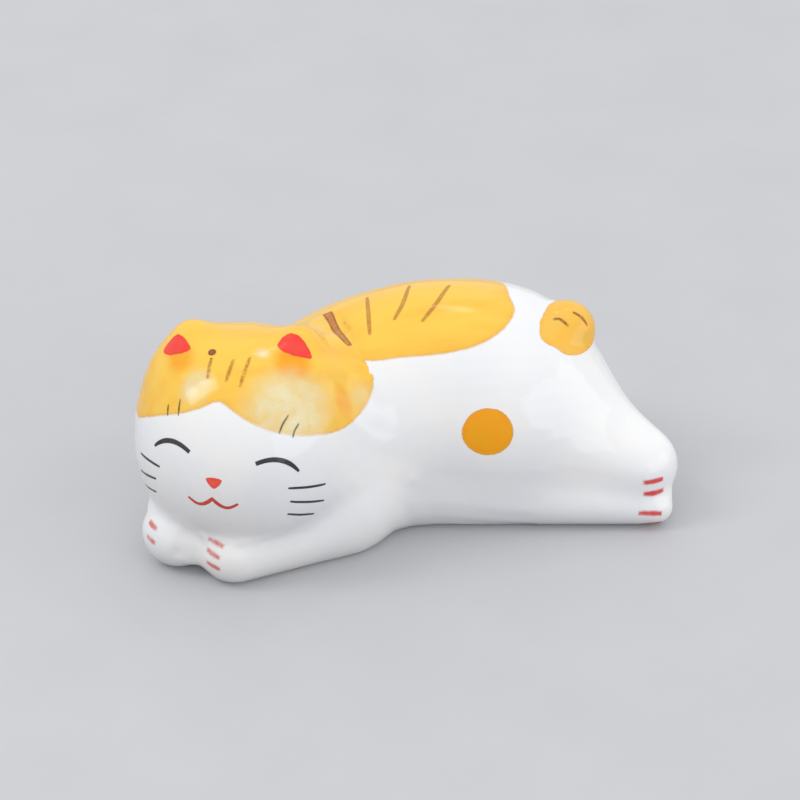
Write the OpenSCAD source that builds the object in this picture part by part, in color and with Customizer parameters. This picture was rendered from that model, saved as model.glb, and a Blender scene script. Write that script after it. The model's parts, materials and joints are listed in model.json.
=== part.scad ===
// Chopstick rest in the form of a cat that lies on its belly, head turned to the viewer.
// The hollow clay members are luted together at flat faces, glazed white and painted with enamel.
// The right fore and hind legs are the far and upper ones. Every clay member is cut from one soft
// outer surface, so members meet at flat joint faces and the outside runs on across the joints.

/* [Torso] */
// Half length of the torso, which also spaces the members along the body
torso_half_l = 18.5; // [17:0.25:20]
// Half width of the torso, which also spaces the members across the body
torso_half_w = 12.4; // [11.4:0.2:13.4]
// Half height of the torso
torso_half_h = 14.6; // [13.6:0.2:15.6]
// Half length of the chest
chest_half_l = 12; // [11:0.25:13]
// Half width of the chest
chest_half_w = 11; // [10:0.25:12]
// Half height of the chest
chest_half_h = 12.4; // [11.4:0.2:13.4]
// Half length of the rump
rump_half_l = 11.4; // [10.4:0.2:12.4]
// Half width of the rump
rump_half_w = 11.8; // [10.8:0.2:12.8]
// Half height of the rump
rump_half_h = 12.6; // [11.6:0.2:13.2]

/* [Head] */
// Half depth of the head, from face to nape
head_half_l = 12; // [11.2:0.2:12.8]
// Half width of the head across the cheeks
head_half_w = 12.8; // [12:0.2:13.6]
// Half height of the head
head_half_h = 12.5; // [11.7:0.2:13.3]
// Half depth of the flatter crown
crown_half_l = 9.5; // [8.7:0.2:10.3]
// Half width of the crown
crown_half_w = 11.4; // [10.6:0.2:12.2]
// Half height of the crown
crown_half_h = 8.9; // [8.1:0.2:9.5]
// Height of the crown's middle above the head's middle
crown_up = 4; // [3.4:0.1:4.6]
// Turn of the moulded head from the body's line towards the viewer
head_turn = 72; // [62:1:82]
// Turn of the painted face from the body's line towards the viewer
face_turn = 65; // [55:1:75]

/* [Ears] */
// Radius of an ear where it leaves the crown
ear_base_r = 4.4; // [4:0.1:4.8]
// Radius of the ear's round tip
ear_tip_r = 2; // [1.7:0.1:2.3]
// Distance of the ear's tip from the head's middle plane
ear_side = 6.4; // [5.8:0.1:7]
// Height of the ear's tip centre above the head's middle
ear_up = 11.6; // [11.2:0.1:12]
// Distance of the joint faces under the ears from the head's middle
ear_seat = 12.9; // [12.7:0.1:13.1]

/* [Forelegs] */
// Radius of the left foreleg at the shoulder
left_shoulder_r = 6.3; // [5.7:0.1:6.9]
// Radius of the left forepaw
left_paw_r = 4.1; // [3.7:0.1:4.5]
// Radius of the right foreleg at the shoulder
right_shoulder_r = 5; // [4.6:0.1:5.4]
// Radius of the right forepaw
right_paw_r = 4.3; // [3.9:0.1:4.7]
// Height of the plane under the chin where the head rests on the forelegs
chin_z = 6.6; // [6.2:0.1:7]

/* [Hind legs] */
// Radius of the right thigh, the upper one
right_thigh_r = 10.6; // [10:0.2:11.2]
// Radius of the right hind paw
right_foot_r = 4.6; // [4.2:0.1:5]
// Radius of the left thigh, the lower one
left_thigh_r = 6.2; // [5.8:0.1:6.6]
// Radius of the left hind paw
left_foot_r = 2.1; // [1.9:0.1:2.3]

/* [Tail] */
// Radius of the bob tail
tail_r = 3.5; // [3.1:0.1:3.8]

/* [Soft blends] */
// Width of the blend between torso and rump
rump_blend = 5; // [4:0.5:6]
// Width of the blend between torso and chest
chest_blend = 7; // [6:0.5:8]
// Width of the blend at the nape, which sets how deep the dip for the chopsticks is
nape_blend = 4; // [3:0.5:5]
// Width of the blend under the chin, where the head rests on the forelegs in a crease
chin_blend = 1.2; // [1:0.1:1.6]
// Height above the chin plane at which the blend has widened to that at the nape
chin_fade = 4.5; // [4:0.25:5]
// Width of the blend between head and crown
crown_blend = 3; // [2.5:0.25:3.5]
// Width of the blend at the foot of the ears
ear_blend = 3; // [2.5:0.25:3.5]
// Width of the blend between body and left foreleg
left_foreleg_blend = 5; // [4:0.5:6]
// Width of the blend between body and right foreleg
right_foreleg_blend = 2.5; // [2:0.25:3]
// Width of the blend between body and right thigh
right_thigh_blend = 5; // [4:0.5:6]
// Width of the blend between body and left thigh, with the valley between the feet
left_thigh_blend = 1.6; // [1.4:0.1:2]
// Width of the blend round the tail
tail_blend = 1; // [0.8:0.1:1.2]

/* [Cavity] */
// Radius of the hollow in the torso
torso_hollow_r = 8; // [6:0.5:8.5]
// Radius of the hollow in the head
head_hollow_r = 7.5; // [6:0.25:8]
// Radius of the passage through the neck joint
neck_hollow_r = 3; // [2:0.25:3.5]
// Radius of the vent hole in the base
vent_r = 1.5; // [1:0.25:2]

/* [Glaze and enamel] */
// Thickness of the clear glaze between the clay and the enamel
glaze_t = 0.14; // [0.1:0.02:0.18]
// Thickness of one layer of enamel
enamel_t = 0.15; // [0.12:0.01:0.2]

/* [Painted face] */
// Width of one closed eye, along its arc's chord
eye_w = 5.3; // [4.6:0.1:6]
// Height of the eye's arc
eye_h = 0.95; // [0.7:0.05:1.3]
// Width of the eye's brush line
eye_line_w = 0.52; // [0.4:0.02:0.66]
// Width of the nose
nose_w = 1.9; // [1.5:0.1:2.3]
// Height of the nose
nose_h = 1.4; // [1.15:0.05:1.65]
// Width of one lobe of the mouth
mouth_lobe_w = 3; // [2.4:0.1:3.6]
// Sag of one lobe of the mouth
mouth_lobe_h = 0.85; // [0.6:0.05:1.1]
// Width of the mouth's brush line
mouth_line_w = 0.4; // [0.3:0.02:0.6]
// Width of a whisker's brush line
whisker_line_w = 0.26; // [0.2:0.02:0.4]
// Width of a brow mark's brush line
brow_line_w = 0.26; // [0.2:0.02:0.4]

/* [Painted coat] */
// Radius of the dot on the forehead
forehead_dot_r = 0.5; // [0.35:0.05:0.65]
// Width of a stripe on the forehead
forehead_stripe_w = 0.5; // [0.4:0.05:0.7]
// Width of the widest stripe on the back
back_stripe_w = 1.3; // [1:0.1:1.6]
// Width of the fine stripes on the back
fine_stripe_w = 0.5; // [0.4:0.05:0.7]
// Radius of the spot on the flank
spot_r = 2.95; // [2.5:0.05:3.4]
// Width of the short marks on the tail
tail_mark_w = 0.45; // [0.35:0.05:0.6]
// Length of a toe mark on the left forepaw
left_toe_l = 2.1; // [1.7:0.1:2.5]
// Length of a toe mark on the right forepaw
right_toe_l = 1.7; // [1.4:0.1:2]
// Length of a toe mark on the hind paws
hind_toe_l = 2.7; // [2.2:0.1:3.2]
// Width of a toe mark
toe_w = 0.78; // [0.6:0.06:0.96]

/* [Hidden] */
$fn = 48;

up = [0, 0, 1];
// Longer than any way out of the cat
far = 4 * torso_half_l;
// Closeness of a vertex to the soft surface, and half the step over which its slope is measured
surface_eps = torso_half_l / 10000;
probe = torso_half_l / 1000;

// Places of the members: x as a share of torso_half_l, y of torso_half_w, z of the member's own height
torso_place_shares = [0.27, 0.24, 0.78];
chest_place_shares = [-0.43, 0.08, 0.77];
rump_place_shares = [0.735, 0.16, 0.84];
head_place_shares = [-1.016, -0.37, 1.088];
left_shoulder_place_shares = [-0.459, -0.532, 0.714];
left_paw_place_shares = [-1.162, -0.927, 0.829];
right_shoulder_place_shares = [-0.973, 0.16, 0.9];
right_paw_place_shares = [-1.476, -0.581, 0.89];
right_thigh_place_shares = [0.757, 0.08, 0.85];
right_foot_place_shares = [1.492, -0.677, 1.348];
left_thigh_place_shares = [0.108, -0.226, 0.774];
left_foot_place_shares = [1.557, -0.952, 1.05];
tail_place_shares = [1.124, 0.097, 1.587];

function place(shares, height) =
    [shares.x * torso_half_l, shares.y * torso_half_w, shares.z * height];

torso_at = place(torso_place_shares, torso_half_h);
chest_at = place(chest_place_shares, chest_half_h);
rump_at = place(rump_place_shares, rump_half_h);
head_at = place(head_place_shares, head_half_h);
left_shoulder_at = place(left_shoulder_place_shares, left_shoulder_r);
left_paw_at = place(left_paw_place_shares, left_paw_r);
right_shoulder_at = place(right_shoulder_place_shares, right_shoulder_r);
right_paw_at = place(right_paw_place_shares, right_paw_r);
right_thigh_at = place(right_thigh_place_shares, right_thigh_r);
right_foot_at = place(right_foot_place_shares, right_foot_r);
left_thigh_at = place(left_thigh_place_shares, left_thigh_r);
left_foot_at = place(left_foot_place_shares, left_foot_r);

// Directions of the moulded head: out of the face, and to the cat's left
head_front = [-cos(head_turn), -sin(head_turn), 0];
head_left = [sin(head_turn), -cos(head_turn), 0];

torso_turn = -4;
chest_turn = 20;
crown_back_share = 0.16;
crown_at = head_at - crown_back_share * crown_half_l * head_front + crown_up * up;

// An ear's base sits lower, nearer the middle and less far back than its tip
ear_base_share = [0.94, 0.69];
tip_back_share = 0.315;
base_back_share = 0.205;
function ear_tip(side) = head_at + side * ear_side * head_left
    - tip_back_share * crown_half_l * head_front + ear_up * up;
function ear_base(side) = head_at + side * ear_base_share[0] * ear_side * head_left
    - base_back_share * crown_half_l * head_front + ear_base_share[1] * ear_up * up;

function unit(v) = v / norm(v);
function turned(v, angle) =
    [v.x * cos(angle) - v.y * sin(angle), v.x * sin(angle) + v.y * cos(angle), v.z];

// Height of a point above the surface of an egg with the half sizes r, turned about the vertical
function egg(p, at, r, angle) =
    let (
        q = turned(p - at, -angle),
        a = [q.x / r.x, q.y / r.y, q.z / r.z],
        k = norm(a)
    )
    k == 0 ? -min(r) : k * (k - 1) / norm([a.x / r.x, a.y / r.y, a.z / r.z]);

// Height of a point above a limb that tapers from the radius ra at a to rb at b
function limb(p, a, b, ra, rb) =
    let (
        long = norm(b - a),
        along = (b - a) / long,
        s = (p - a) * along,
        x = norm(p - a - s * along),
        slope = (ra - rb) / long,
        c = min(max(s - x * slope / sqrt(1 - slope * slope), 0), long)
    )
    norm(p - a - c * along) - ra + slope * c;

// The lower of two heights, rounded over the width k where they are alike
function soft(a, b, k) =
    let (h = max(k - abs(a - b), 0) / k)
    min(a, b) - h * h * k / 4;

// Height of a point above the soft outer surface of the whole cat, with the bob tail or without it
function height(p, tailed = true) =
    let (
        torso = egg(p, torso_at, [torso_half_l, torso_half_w, torso_half_h], torso_turn),
        rump = egg(p, rump_at, [rump_half_l, rump_half_w, rump_half_h], 0),
        chest = egg(p, chest_at, [chest_half_l, chest_half_w, chest_half_h], chest_turn),
        body = soft(soft(torso, rump, rump_blend), chest, chest_blend),
        skull = egg(p, head_at, [head_half_l, head_half_w, head_half_h], head_turn),
        crown = egg(p, crown_at, [crown_half_l, crown_half_w, crown_half_h], head_turn),
        left_ear = limb(p, ear_base(1), ear_tip(1), ear_base_r, ear_tip_r),
        right_ear = limb(p, ear_base(-1), ear_tip(-1), ear_base_r, ear_tip_r),
        bare_head = soft(skull, crown, crown_blend),
        head = soft(soft(bare_head, left_ear, ear_blend), right_ear, ear_blend),
        left_foreleg = limb(p, left_shoulder_at, left_paw_at, left_shoulder_r, left_paw_r),
        right_foreleg = limb(p, right_shoulder_at, right_paw_at, right_shoulder_r, right_paw_r),
        trunk = soft(soft(body, left_foreleg, left_foreleg_blend), right_foreleg, right_foreleg_blend),
        rise = min(max((p.z - chin_z) / chin_fade, 0), 1),
        front = soft(trunk, head, chin_blend + (nape_blend - chin_blend) * rise),
        right_leg = limb(p, right_thigh_at, right_foot_at, right_thigh_r, right_foot_r),
        left_leg = limb(p, left_thigh_at, left_foot_at, left_thigh_r, left_foot_r),
        whole = soft(soft(front, right_leg, right_thigh_blend), left_leg, left_thigh_blend)
    )
    tailed ? soft(whole, norm(p - tail_at) - tail_r, tail_blend) : whole;

// Distance from c to the surface along the direction d, by steps that follow the slope
least_slope_share = 0.7;
first_step_share = 0.6;
most_steps_count = 20;
function exit_at(c, d, t0, h0, t1, n, tailed) =
    let (h1 = height(c + t1 * d, tailed))
    n == 0 || abs(h1) < surface_eps ? t1
    : exit_at(c, d, t1, h1, t1 - h1 / max(least_slope_share, (h1 - h0) / (t1 - t0)), n - 1, tailed);
function exit_from(c, d, tailed = true) =
    let (h = height(c, tailed))
    exit_at(c, d, 0, h, -first_step_share * h, most_steps_count, tailed);

// The bob tail is sunk into the rump by a share of its radius, where the line out of the rump leaves it
tail_out = unit(place(tail_place_shares, rump_half_h) - rump_at);
tail_sunk_share = 0.345;
tail_at = rump_at + (exit_from(rump_at, tail_out, false) - tail_sunk_share * tail_r) * tail_out;

// Direction straight out of the surface at a point of it
function out_of(p) =
    unit([for (axis = [[1, 0, 0], [0, 1, 0], [0, 0, 1]])
        height(p + probe * axis) - height(p - probe * axis)]);

// A joint plane is [normal, distance]; a cell is a list of planes whose inner sides hold a member.
// A member is shaped a little past its planes and then cut by them. A ray ends at the surface or
// that little past the first plane that it doesn't run along.
least_slant_share = 0.1;
function cell_reach(c, d, cell, past) =
    min([for (f = cell) let (slant = f[0] * d)
        slant > least_slant_share ? (f[1] + past - f[0] * c) / slant : far]);
function reach(c, d, cell, past) = c + min(exit_from(c, d), cell_reach(c, d, cell, past)) * d;

function flip(f) = [-f[0], -f[1]];
function plane_through(n, p) = [unit(n), unit(n) * p];
// The part of v that is square to the direction d
function square_to(v, d) = v - (v * d) * d;

floor_plane = [-up, 0];

// The neck joint: it leans back over the shoulders and parts torso from head and forelegs
neck_foot_share = 0.12;
neck_lean_turn = 17.5;
neck_turn = 5;
neck_normal = [-cos(neck_lean_turn) * cos(neck_turn), -cos(neck_lean_turn) * sin(neck_turn),
    -sin(neck_lean_turn)];
neck_plane = plane_through(neck_normal, [neck_foot_share * torso_half_l, 0, 0]);

// The head rests on the forelegs at the level crease under the chin
chin_plane = [up, chin_z];

// The plane between the forelegs runs along the left one, halfway between the paws
left_foreleg_along = unit(left_paw_at - left_shoulder_at);
paw_gap = left_paw_at - right_paw_at;
foreleg_plane = plane_through(square_to(paw_gap, left_foreleg_along),
    (left_paw_at + right_paw_at + (right_paw_r - left_paw_r) * unit(paw_gap)) / 2);

// The hip joint parts the torso from both hind legs
hip_share = [1.1, -0.24, 0.75];
hip_normal = [0.87, -0.45, -0.22];
hip_plane = plane_through(hip_normal, place(hip_share, right_thigh_r));

// The plane between the hind legs runs along the left one, in the valley between the feet
left_leg_along = unit(left_foot_at - left_thigh_at);
foot_gap = right_foot_at - left_foot_at;
hind_plane = plane_through(square_to(foot_gap, left_leg_along),
    (right_foot_at + left_foot_at + (left_foot_r - right_foot_r) * unit(foot_gap)) / 2);

// The tail and the ears sit on small flats
tail_seat_share = 0.2;
tail_plane = plane_through(tail_out, tail_at + tail_seat_share * tail_r * tail_out);
ear_splay_share = 0.35;
function ear_out(side) = unit(up + ear_splay_share * side * head_left);
function ear_plane(side) = plane_through(ear_out(side), head_at + ear_seat * ear_out(side));

torso_cell = [floor_plane, neck_plane, hip_plane, tail_plane];
tail_cell = [flip(tail_plane), hip_plane];
function ear_cell(side) = [flip(ear_plane(side)), flip(neck_plane)];
head_cell = [flip(neck_plane), flip(chin_plane), ear_plane(1), ear_plane(-1)];
left_foreleg_cell = [floor_plane, flip(neck_plane), chin_plane, flip(foreleg_plane)];
right_foreleg_cell = [floor_plane, flip(neck_plane), chin_plane, foreleg_plane];
left_hind_leg_cell = [floor_plane, flip(hip_plane), hind_plane];
right_hind_leg_cell = [floor_plane, flip(hip_plane), flip(hind_plane)];

// Middle of the whole cat in plan, from the pieces that reach furthest
mid_x = (right_foot_at.x + right_foot_r + right_paw_at.x - right_paw_r) / 2;
head_reach = norm([head_half_l * sin(head_turn), head_half_w * cos(head_turn)]);
mid_y = (torso_at.y + torso_half_w + head_at.y - head_reach) / 2;
middle = [mid_x, mid_y, 0];

// Closed faces over rows of n points each, with one pole before the first row and one after the last
function wrap_faces(rows, n) = concat(
    [for (i = [0:n - 1]) [0, 1 + (i + 1) % n, 1 + i]],
    [for (r = [0:rows - 2], i = [0:n - 1], half = [0, 1])
        let (a = 1 + r * n + i, b = 1 + r * n + (i + 1) % n)
        half == 0 ? [a, b, b + n] : [a, b + n, a + n]],
    [for (i = [0:n - 1]) let (last = 1 + rows * n) [last, last - n + i, last - n + (i + 1) % n]]);

// A member as rows of rays from a spine: [place on the spine, elevation of the ray towards the end]
module member(stations, along, cell, past, n) {
    side = unit(cross(along, up));
    top = cross(side, along);
    last = len(stations) - 1;
    rows = [for (s = stations, i = [0:n - 1])
        let (a = 360 * i / n)
        reach(s[0], cos(s[1]) * (cos(a) * side + sin(a) * top) + sin(s[1]) * along, cell, past)];
    ends = [reach(stations[0][0], -along, cell, past), reach(stations[last][0], along, cell, past)];
    polyhedron(concat([ends[0]], rows, [ends[1]]), wrap_faces(last + 1, n));
}

// The outer side of a plane, as a block that covers the whole cat
module beyond(f)
    translate(f[1] * f[0])
        rotate([0, acos(f[0].z), atan2(f[0].y, f[0].x)])
            translate([-far, -far, 0])
                cube([2 * far, 2 * far, far]);

// A member cut to its cell, with its hollow taken out
module cut_to(cell) translate(-middle) difference() {
    children(0);
    for (f = cell) beyond(f);
    if ($children > 1) children(1);
}

// Rows round a spine from a to b, with bowed ends
function spine(a, b, bow, mids) = concat(
    [for (e = bow) [a, -e]],
    [for (i = [0:mids]) [a + (b - a) * i / max(mids, 1), 0]],
    [for (i = [len(bow) - 1:-1:0]) [b, bow[i]]]);

glaze_white = [0.96, 0.96, 0.95];
orange = [1.0, 0.76, 0.24];
deep_orange = [0.98, 0.67, 0.1];
brown = [0.42, 0.24, 0.12];
red = [0.93, 0.2, 0.16];
black = [0.08, 0.08, 0.08];

// Ends of the torso's spine and of its hollow, in shares of its half sizes
torso_front_share = [0.12, 0.2, 0.8];
torso_rear_share = [0.85, 0.2, 0.75];
hollow_front_share = [0.38, 0.2, 0.8];
hollow_rear_share = [0.65, 0.2, 0.78];

module from_to(a, b)
    translate(a)
        rotate([0, acos((b - a).z / norm(b - a)), atan2((b - a).y, (b - a).x)])
            children();
module rod(a, b, r) from_to(a, b) cylinder(norm(b - a), r, r);
// A rod with round ends, turned from one outline
module capsule(a, b, r)
    from_to(a, b) rotate_extrude() intersection() {
        union() {
            circle(r);
            translate([0, norm(b - a)]) circle(r);
            square([r, norm(b - a)]);
        }
        translate([0, -r]) square([r, norm(b - a) + 2 * r]);
    }

// The hollow of the torso runs through the neck into the head and is vented through the base
module hollow() {
    front = place(hollow_front_share, torso_half_h);
    rear = place(hollow_rear_share, torso_half_h);
    vent_top = (front + rear) / 2;
    capsule(front, rear, torso_hollow_r);
    translate(head_at) sphere(head_hollow_r);
    rod(head_at, front, neck_hollow_r);
    rod([vent_top.x, vent_top.y, -vent_r], vent_top, vent_r);
}

torso_bow_turns = [80, 73, 66, 59, 52, 45, 38, 30, 20, 10];
torso_row_count = 10;
torso_ray_count = 48;
module torso() color(glaze_white) cut_to(torso_cell) {
    member(spine(place(torso_front_share, torso_half_h), place(torso_rear_share, torso_half_h),
        torso_bow_turns, torso_row_count), [1, 0, 0], torso_cell, torso_hollow_r, torso_ray_count);
    hollow();
}

head_bow_turns = [82, 74, 66, 58, 50, 42, 34, 26, 18, 9];
head_ray_count = 60;
module head() color(glaze_white) cut_to(head_cell) {
    member(spine(head_at, head_at, head_bow_turns, 0), neck_plane[0], head_cell, head_hollow_r,
        head_ray_count);
    hollow();
}

small_bow_turns = [76, 58, 42, 26, 12];
ear_ray_count = 24;
module ear(side) color(glaze_white) cut_to(ear_cell(side)) {
    f = ear_plane(side);
    root = ear_tip(side) + (f[1] - f[0] * ear_tip(side)) * f[0];
    member(spine(root, root, small_bow_turns, 0), ear_out(side), ear_cell(side), ear_tip_r / 2,
        ear_ray_count);
}

// A foreleg's spine starts behind the neck joint, low in the chest
function behind_neck(share) =
    let (p = place(share, torso_half_h), f = neck_plane)
    [(f[1] - f[0].y * p.y - f[0].z * p.z) / f[0].x, p.y, p.z];
left_chest_share = [0, -0.42, 0.17];
right_chest_share = [0, 0.24, 0.13];
foreleg_row_count = 10;
hind_leg_row_count = 6;
foreleg_ray_count = 30;
left_hind_ray_count = 30;
right_hind_ray_count = 30;
module left_foreleg() color(glaze_white) cut_to(left_foreleg_cell)
    member(spine(behind_neck(left_chest_share), left_paw_at, small_bow_turns, foreleg_row_count),
        neck_plane[0], left_foreleg_cell, left_paw_r, foreleg_ray_count);
module right_foreleg() color(glaze_white) cut_to(right_foreleg_cell)
    member(spine(behind_neck(right_chest_share), right_paw_at, small_bow_turns, foreleg_row_count),
        neck_plane[0], right_foreleg_cell, right_paw_r, foreleg_ray_count);

left_hip_share = [0.91, -0.6, 0.2];
module left_hind_leg() color(glaze_white) cut_to(left_hind_leg_cell)
    member(spine(place(left_hip_share, torso_half_h), left_foot_at, small_bow_turns, hind_leg_row_count),
        hip_plane[0], left_hind_leg_cell, left_foot_r, left_hind_ray_count);
module right_hind_leg() color(glaze_white) cut_to(right_hind_leg_cell)
    member(spine(place(hip_share, right_thigh_r), right_foot_at, small_bow_turns, hind_leg_row_count),
        hip_plane[0], right_hind_leg_cell, right_foot_r, right_hind_ray_count);

tail_ray_count = 24;
module tail() color(glaze_white) cut_to(tail_cell)
    member(spine(tail_at, tail_at, small_bow_turns, 0), tail_plane[0], tail_cell, tail_r, tail_ray_count);

// A point of view for painting: [middle, front, left, length of the axis the rays start from].
// A round one looks out from its middle, a long one from the nearest place on its front axis.
function round_view(at, turn) =
    [at, [-cos(turn), -sin(turn), 0], [sin(turn), -cos(turn), 0], false];
face_view = round_view(head_at, face_turn);
left_paw_view = round_view(left_paw_at, face_turn);
right_paw_view = round_view(right_paw_at, face_turn);
foot_turn = 80;
left_foot_view = round_view(left_foot_at, foot_turn);
right_foot_view = round_view(right_foot_at, foot_turn);
tail_view = round_view(tail_at, 90);
// The back is seen from the torso's long axis: its front is the far end, its left the near side
back_view = [torso_at, [1, 0, 0], [0, -1, 0], true];

// Direction of a bearing [degrees to the cat's left of the front, degrees above the level]
function bearing(view, b) =
    cos(b[1]) * (cos(b[0]) * view[1] + sin(b[0]) * view[2]) + sin(b[1]) * up;
// Place on the surface that a view sees at a bearing. A long view takes
// [share of torso_half_l along its axis, degrees from the top to the left].
function seen(view, b) = view[3]
    ? let (c = view[0] + b[0] * torso_half_l * view[1], d = sin(b[1]) * view[2] + cos(b[1]) * up)
        c + exit_from(c, d) * d
    : let (d = bearing(view, b)) view[0] + exit_from(view[0], d) * d;
// The points at the given heights straight above a place on the surface
function lifted(p, lifts) = let (n = out_of(p)) [for (lift = lifts) p + lift * n];
// The place on the surface that lies between a view and a target, or on the ray through the target
function ray_start(view, p) =
    view[3] ? view[0] + ((p - view[0]) * view[1]) * view[1] : view[0];
function under(view, p) =
    let (c = ray_start(view, p), d = unit(p - c))
    c + exit_from(c, d) * d;
// Bearing of a place in a round view, and [share, degrees] of a place in a long one
function bearing_to(view, p) =
    let (q = unit(p - view[0])) [atan2(q * view[2], q * view[1]), asin(q * up)];
function share_to(view, p) =
    let (q = p - view[0]) [q * view[1] / torso_half_l, atan2(q * view[2], q * up)];

// Coats: enamel on the glaze, and a second layer on the first
first_coat = [glaze_t, glaze_t + enamel_t];
second_coat = [2 * glaze_t + enamel_t, 2 * glaze_t + 2 * enamel_t];

// A smooth closed or open curve through a few points, with m steps between two of them
function bend(a, b, c, d, t) =
    b + t * (c - a) / 2 + t * t * (2 * a - 5 * b + 4 * c - d) / 2 + t * t * t * (3 * b - a - 3 * c + d) / 2;
function ring_curve(p, m) = let (n = len(p))
    [for (i = [0:n - 1], j = [0:m - 1])
        bend(p[(i + n - 1) % n], p[i], p[(i + 1) % n], p[(i + 2) % n], j / m)];
function open_curve(p, m) = let (n = len(p), last = n - 1)
    [for (i = [0:last - 1], j = [0:(i == last - 1 ? m : m - 1)])
        bend(p[max(i - 1, 0)], p[i], p[i + 1], p[min(i + 2, last)], j / m)];

// Faces of a coat: n spokes, rings of them, each vertex first below and then above
function coat_faces(n, rings) =
    let (low = [for (k = [0:n * rings]) 2 * k])
    concat(
        [for (i = [0:n - 1]) [1, 2 * (1 + (i + 1) % n) + 1, 2 * (1 + i) + 1]],
        [for (i = [0:n - 1]) [0, 2 * (1 + i), 2 * (1 + (i + 1) % n)]],
        rings < 2 ? [] : [for (r = [0:rings - 2], i = [0:n - 1], top = [0, 1], half = [0, 1])
            let (a = 2 * (1 + r * n + i) + top, b = 2 * (1 + r * n + (i + 1) % n) + top, m = 2 * n)
            top == 1 ? (half == 0 ? [a, b, b + m] : [a, b + m, a + m])
            : (half == 0 ? [a, b + m, b] : [a, a + m, b + m])],
        [for (i = [0:n - 1], half = [0, 1])
            let (a = 2 * (1 + (rings - 1) * n + i), b = 2 * (1 + (rings - 1) * n + (i + 1) % n))
            half == 0 ? [a, a + 1, b + 1] : [a, b + 1, b]]);

// A coat over a closed outline of surface targets, filled in rings round its middle target
module coat(view, middle_at, outline, rings, lifts) {
    n = len(outline);
    targets = concat([middle_at],
        [for (r = [1:rings], p = outline) middle_at + (p - middle_at) * r / rings]);
    points = [for (p = targets, q = lifted(under(view, p), lifts)) q];
    polyhedron(points, coat_faces(n, rings));
}
// The same over an outline of bearings, which follows the surface more closely over a wide field
module wide_coat(view, middle_bearing, outline, rings, lifts) {
    n = len(outline);
    bearings = concat([middle_bearing],
        [for (r = [1:rings], b = outline) middle_bearing + (b - middle_bearing) * r / rings]);
    points = [for (b = bearings, q = lifted(seen(view, b), lifts)) q];
    polyhedron(points, coat_faces(n, rings));
}

// The tangent cross of a view at a bearing: [place, towards the left, upwards], turned by roll
function easel(view, b, roll) =
    let (
        p = seen(view, b),
        d = unit(p - ray_start(view, p)),
        across = view[3] ? view[1] : unit(cross(up, d)),
        above = cross(d, across)
    )
    [p, cos(roll) * across + sin(roll) * above, cos(roll) * above - sin(roll) * across];
function on_easel(e, q) = e[0] + q[0] * e[1] + q[1] * e[2];

// Faces of a brush stroke with m stations of three points, each first below and then above
function stroke_faces(m) = concat(
    [for (s = [0:m - 2], k = [0, 1], top = [0, 1], half = [0, 1])
        let (a = 6 * s + 2 * k + top, b = a + 2, f = 6)
        top == 1 ? (half == 0 ? [a, b, b + f] : [a, b + f, a + f])
        : (half == 0 ? [a, b + f, b] : [a, a + f, b + f])],
    [for (s = [0:m - 2], edge = [0, 1], half = [0, 1])
        let (a = 6 * s + 4 * edge, f = 6)
        edge == 0 ? (half == 0 ? [a, a + 1, a + 1 + f] : [a, a + 1 + f, a + f])
        : (half == 0 ? [a, a + 1 + f, a + 1] : [a, a + f, a + 1 + f])],
    [for (end = [0, 1], k = [0, 1], half = [0, 1])
        let (a = 6 * (m - 1) * end + 2 * k)
        end == 0 ? (half == 0 ? [a, a + 3, a + 1] : [a, a + 2, a + 3])
        : (half == 0 ? [a, a + 1, a + 3] : [a, a + 3, a + 2])]);

// A brush stroke along surface targets, as wide as the brush and tapered to the shares tips at its ends
module stroke(view, path, width, tips, lifts) {
    m = len(path);
    spots = [for (p = path) under(view, p)];
    points = [for (s = [0:m - 1])
        let (
            along = unit(spots[min(s + 1, m - 1)] - spots[max(s - 1, 0)]),
            side = unit(cross(out_of(spots[s]), along)),
            tip = tips[0] + (tips[1] - tips[0]) * s / (m - 1),
            swell = tip + (1 - tip) * sqrt(sin(180 * (s + 0.5) / m))
        )
        for (k = [-1, 0, 1], q = lifted(under(view, spots[s] + k * side * width * swell / 2), lifts)) q];
    polyhedron(points, stroke_faces(m));
}

// Stations along a stroke through a few bearings, m between two of them, or along a curve on an easel
function line_through(view, b, m) = open_curve([for (i = b) seen(view, i)], m);
function drawn(e, points) = [for (q = points) on_easel(e, q)];
function circle_points(r, n) = [for (i = [0:n - 1]) r * [cos(360 * i / n), sin(360 * i / n)]];
function mean(points, i = 0) = i == len(points) - 1 ? points[i] / len(points)
    : points[i] / len(points) + mean(points, i + 1);

// The two orange areas of cap and back meet at the neck joint. There both edges run a little past
// the joint and are cut off at it. The rim of the joint is measured in degrees from its top towards
// the cat's left.
film_overrun = 0.5;
neck_middle_share = [0, 0.1, 0.6];
neck_middle = behind_neck(neck_middle_share);
neck_top = unit(square_to(up, neck_plane[0]));
neck_side = cross(neck_top, neck_plane[0]);
function neck_rim(turn, past) =
    let (d = cos(turn) * neck_top + sin(turn) * neck_side)
    neck_middle + exit_from(neck_middle, d) * d + past * neck_plane[0];
nape_turns = [20, 11, 2, -8, -18, -28, -38];

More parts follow.
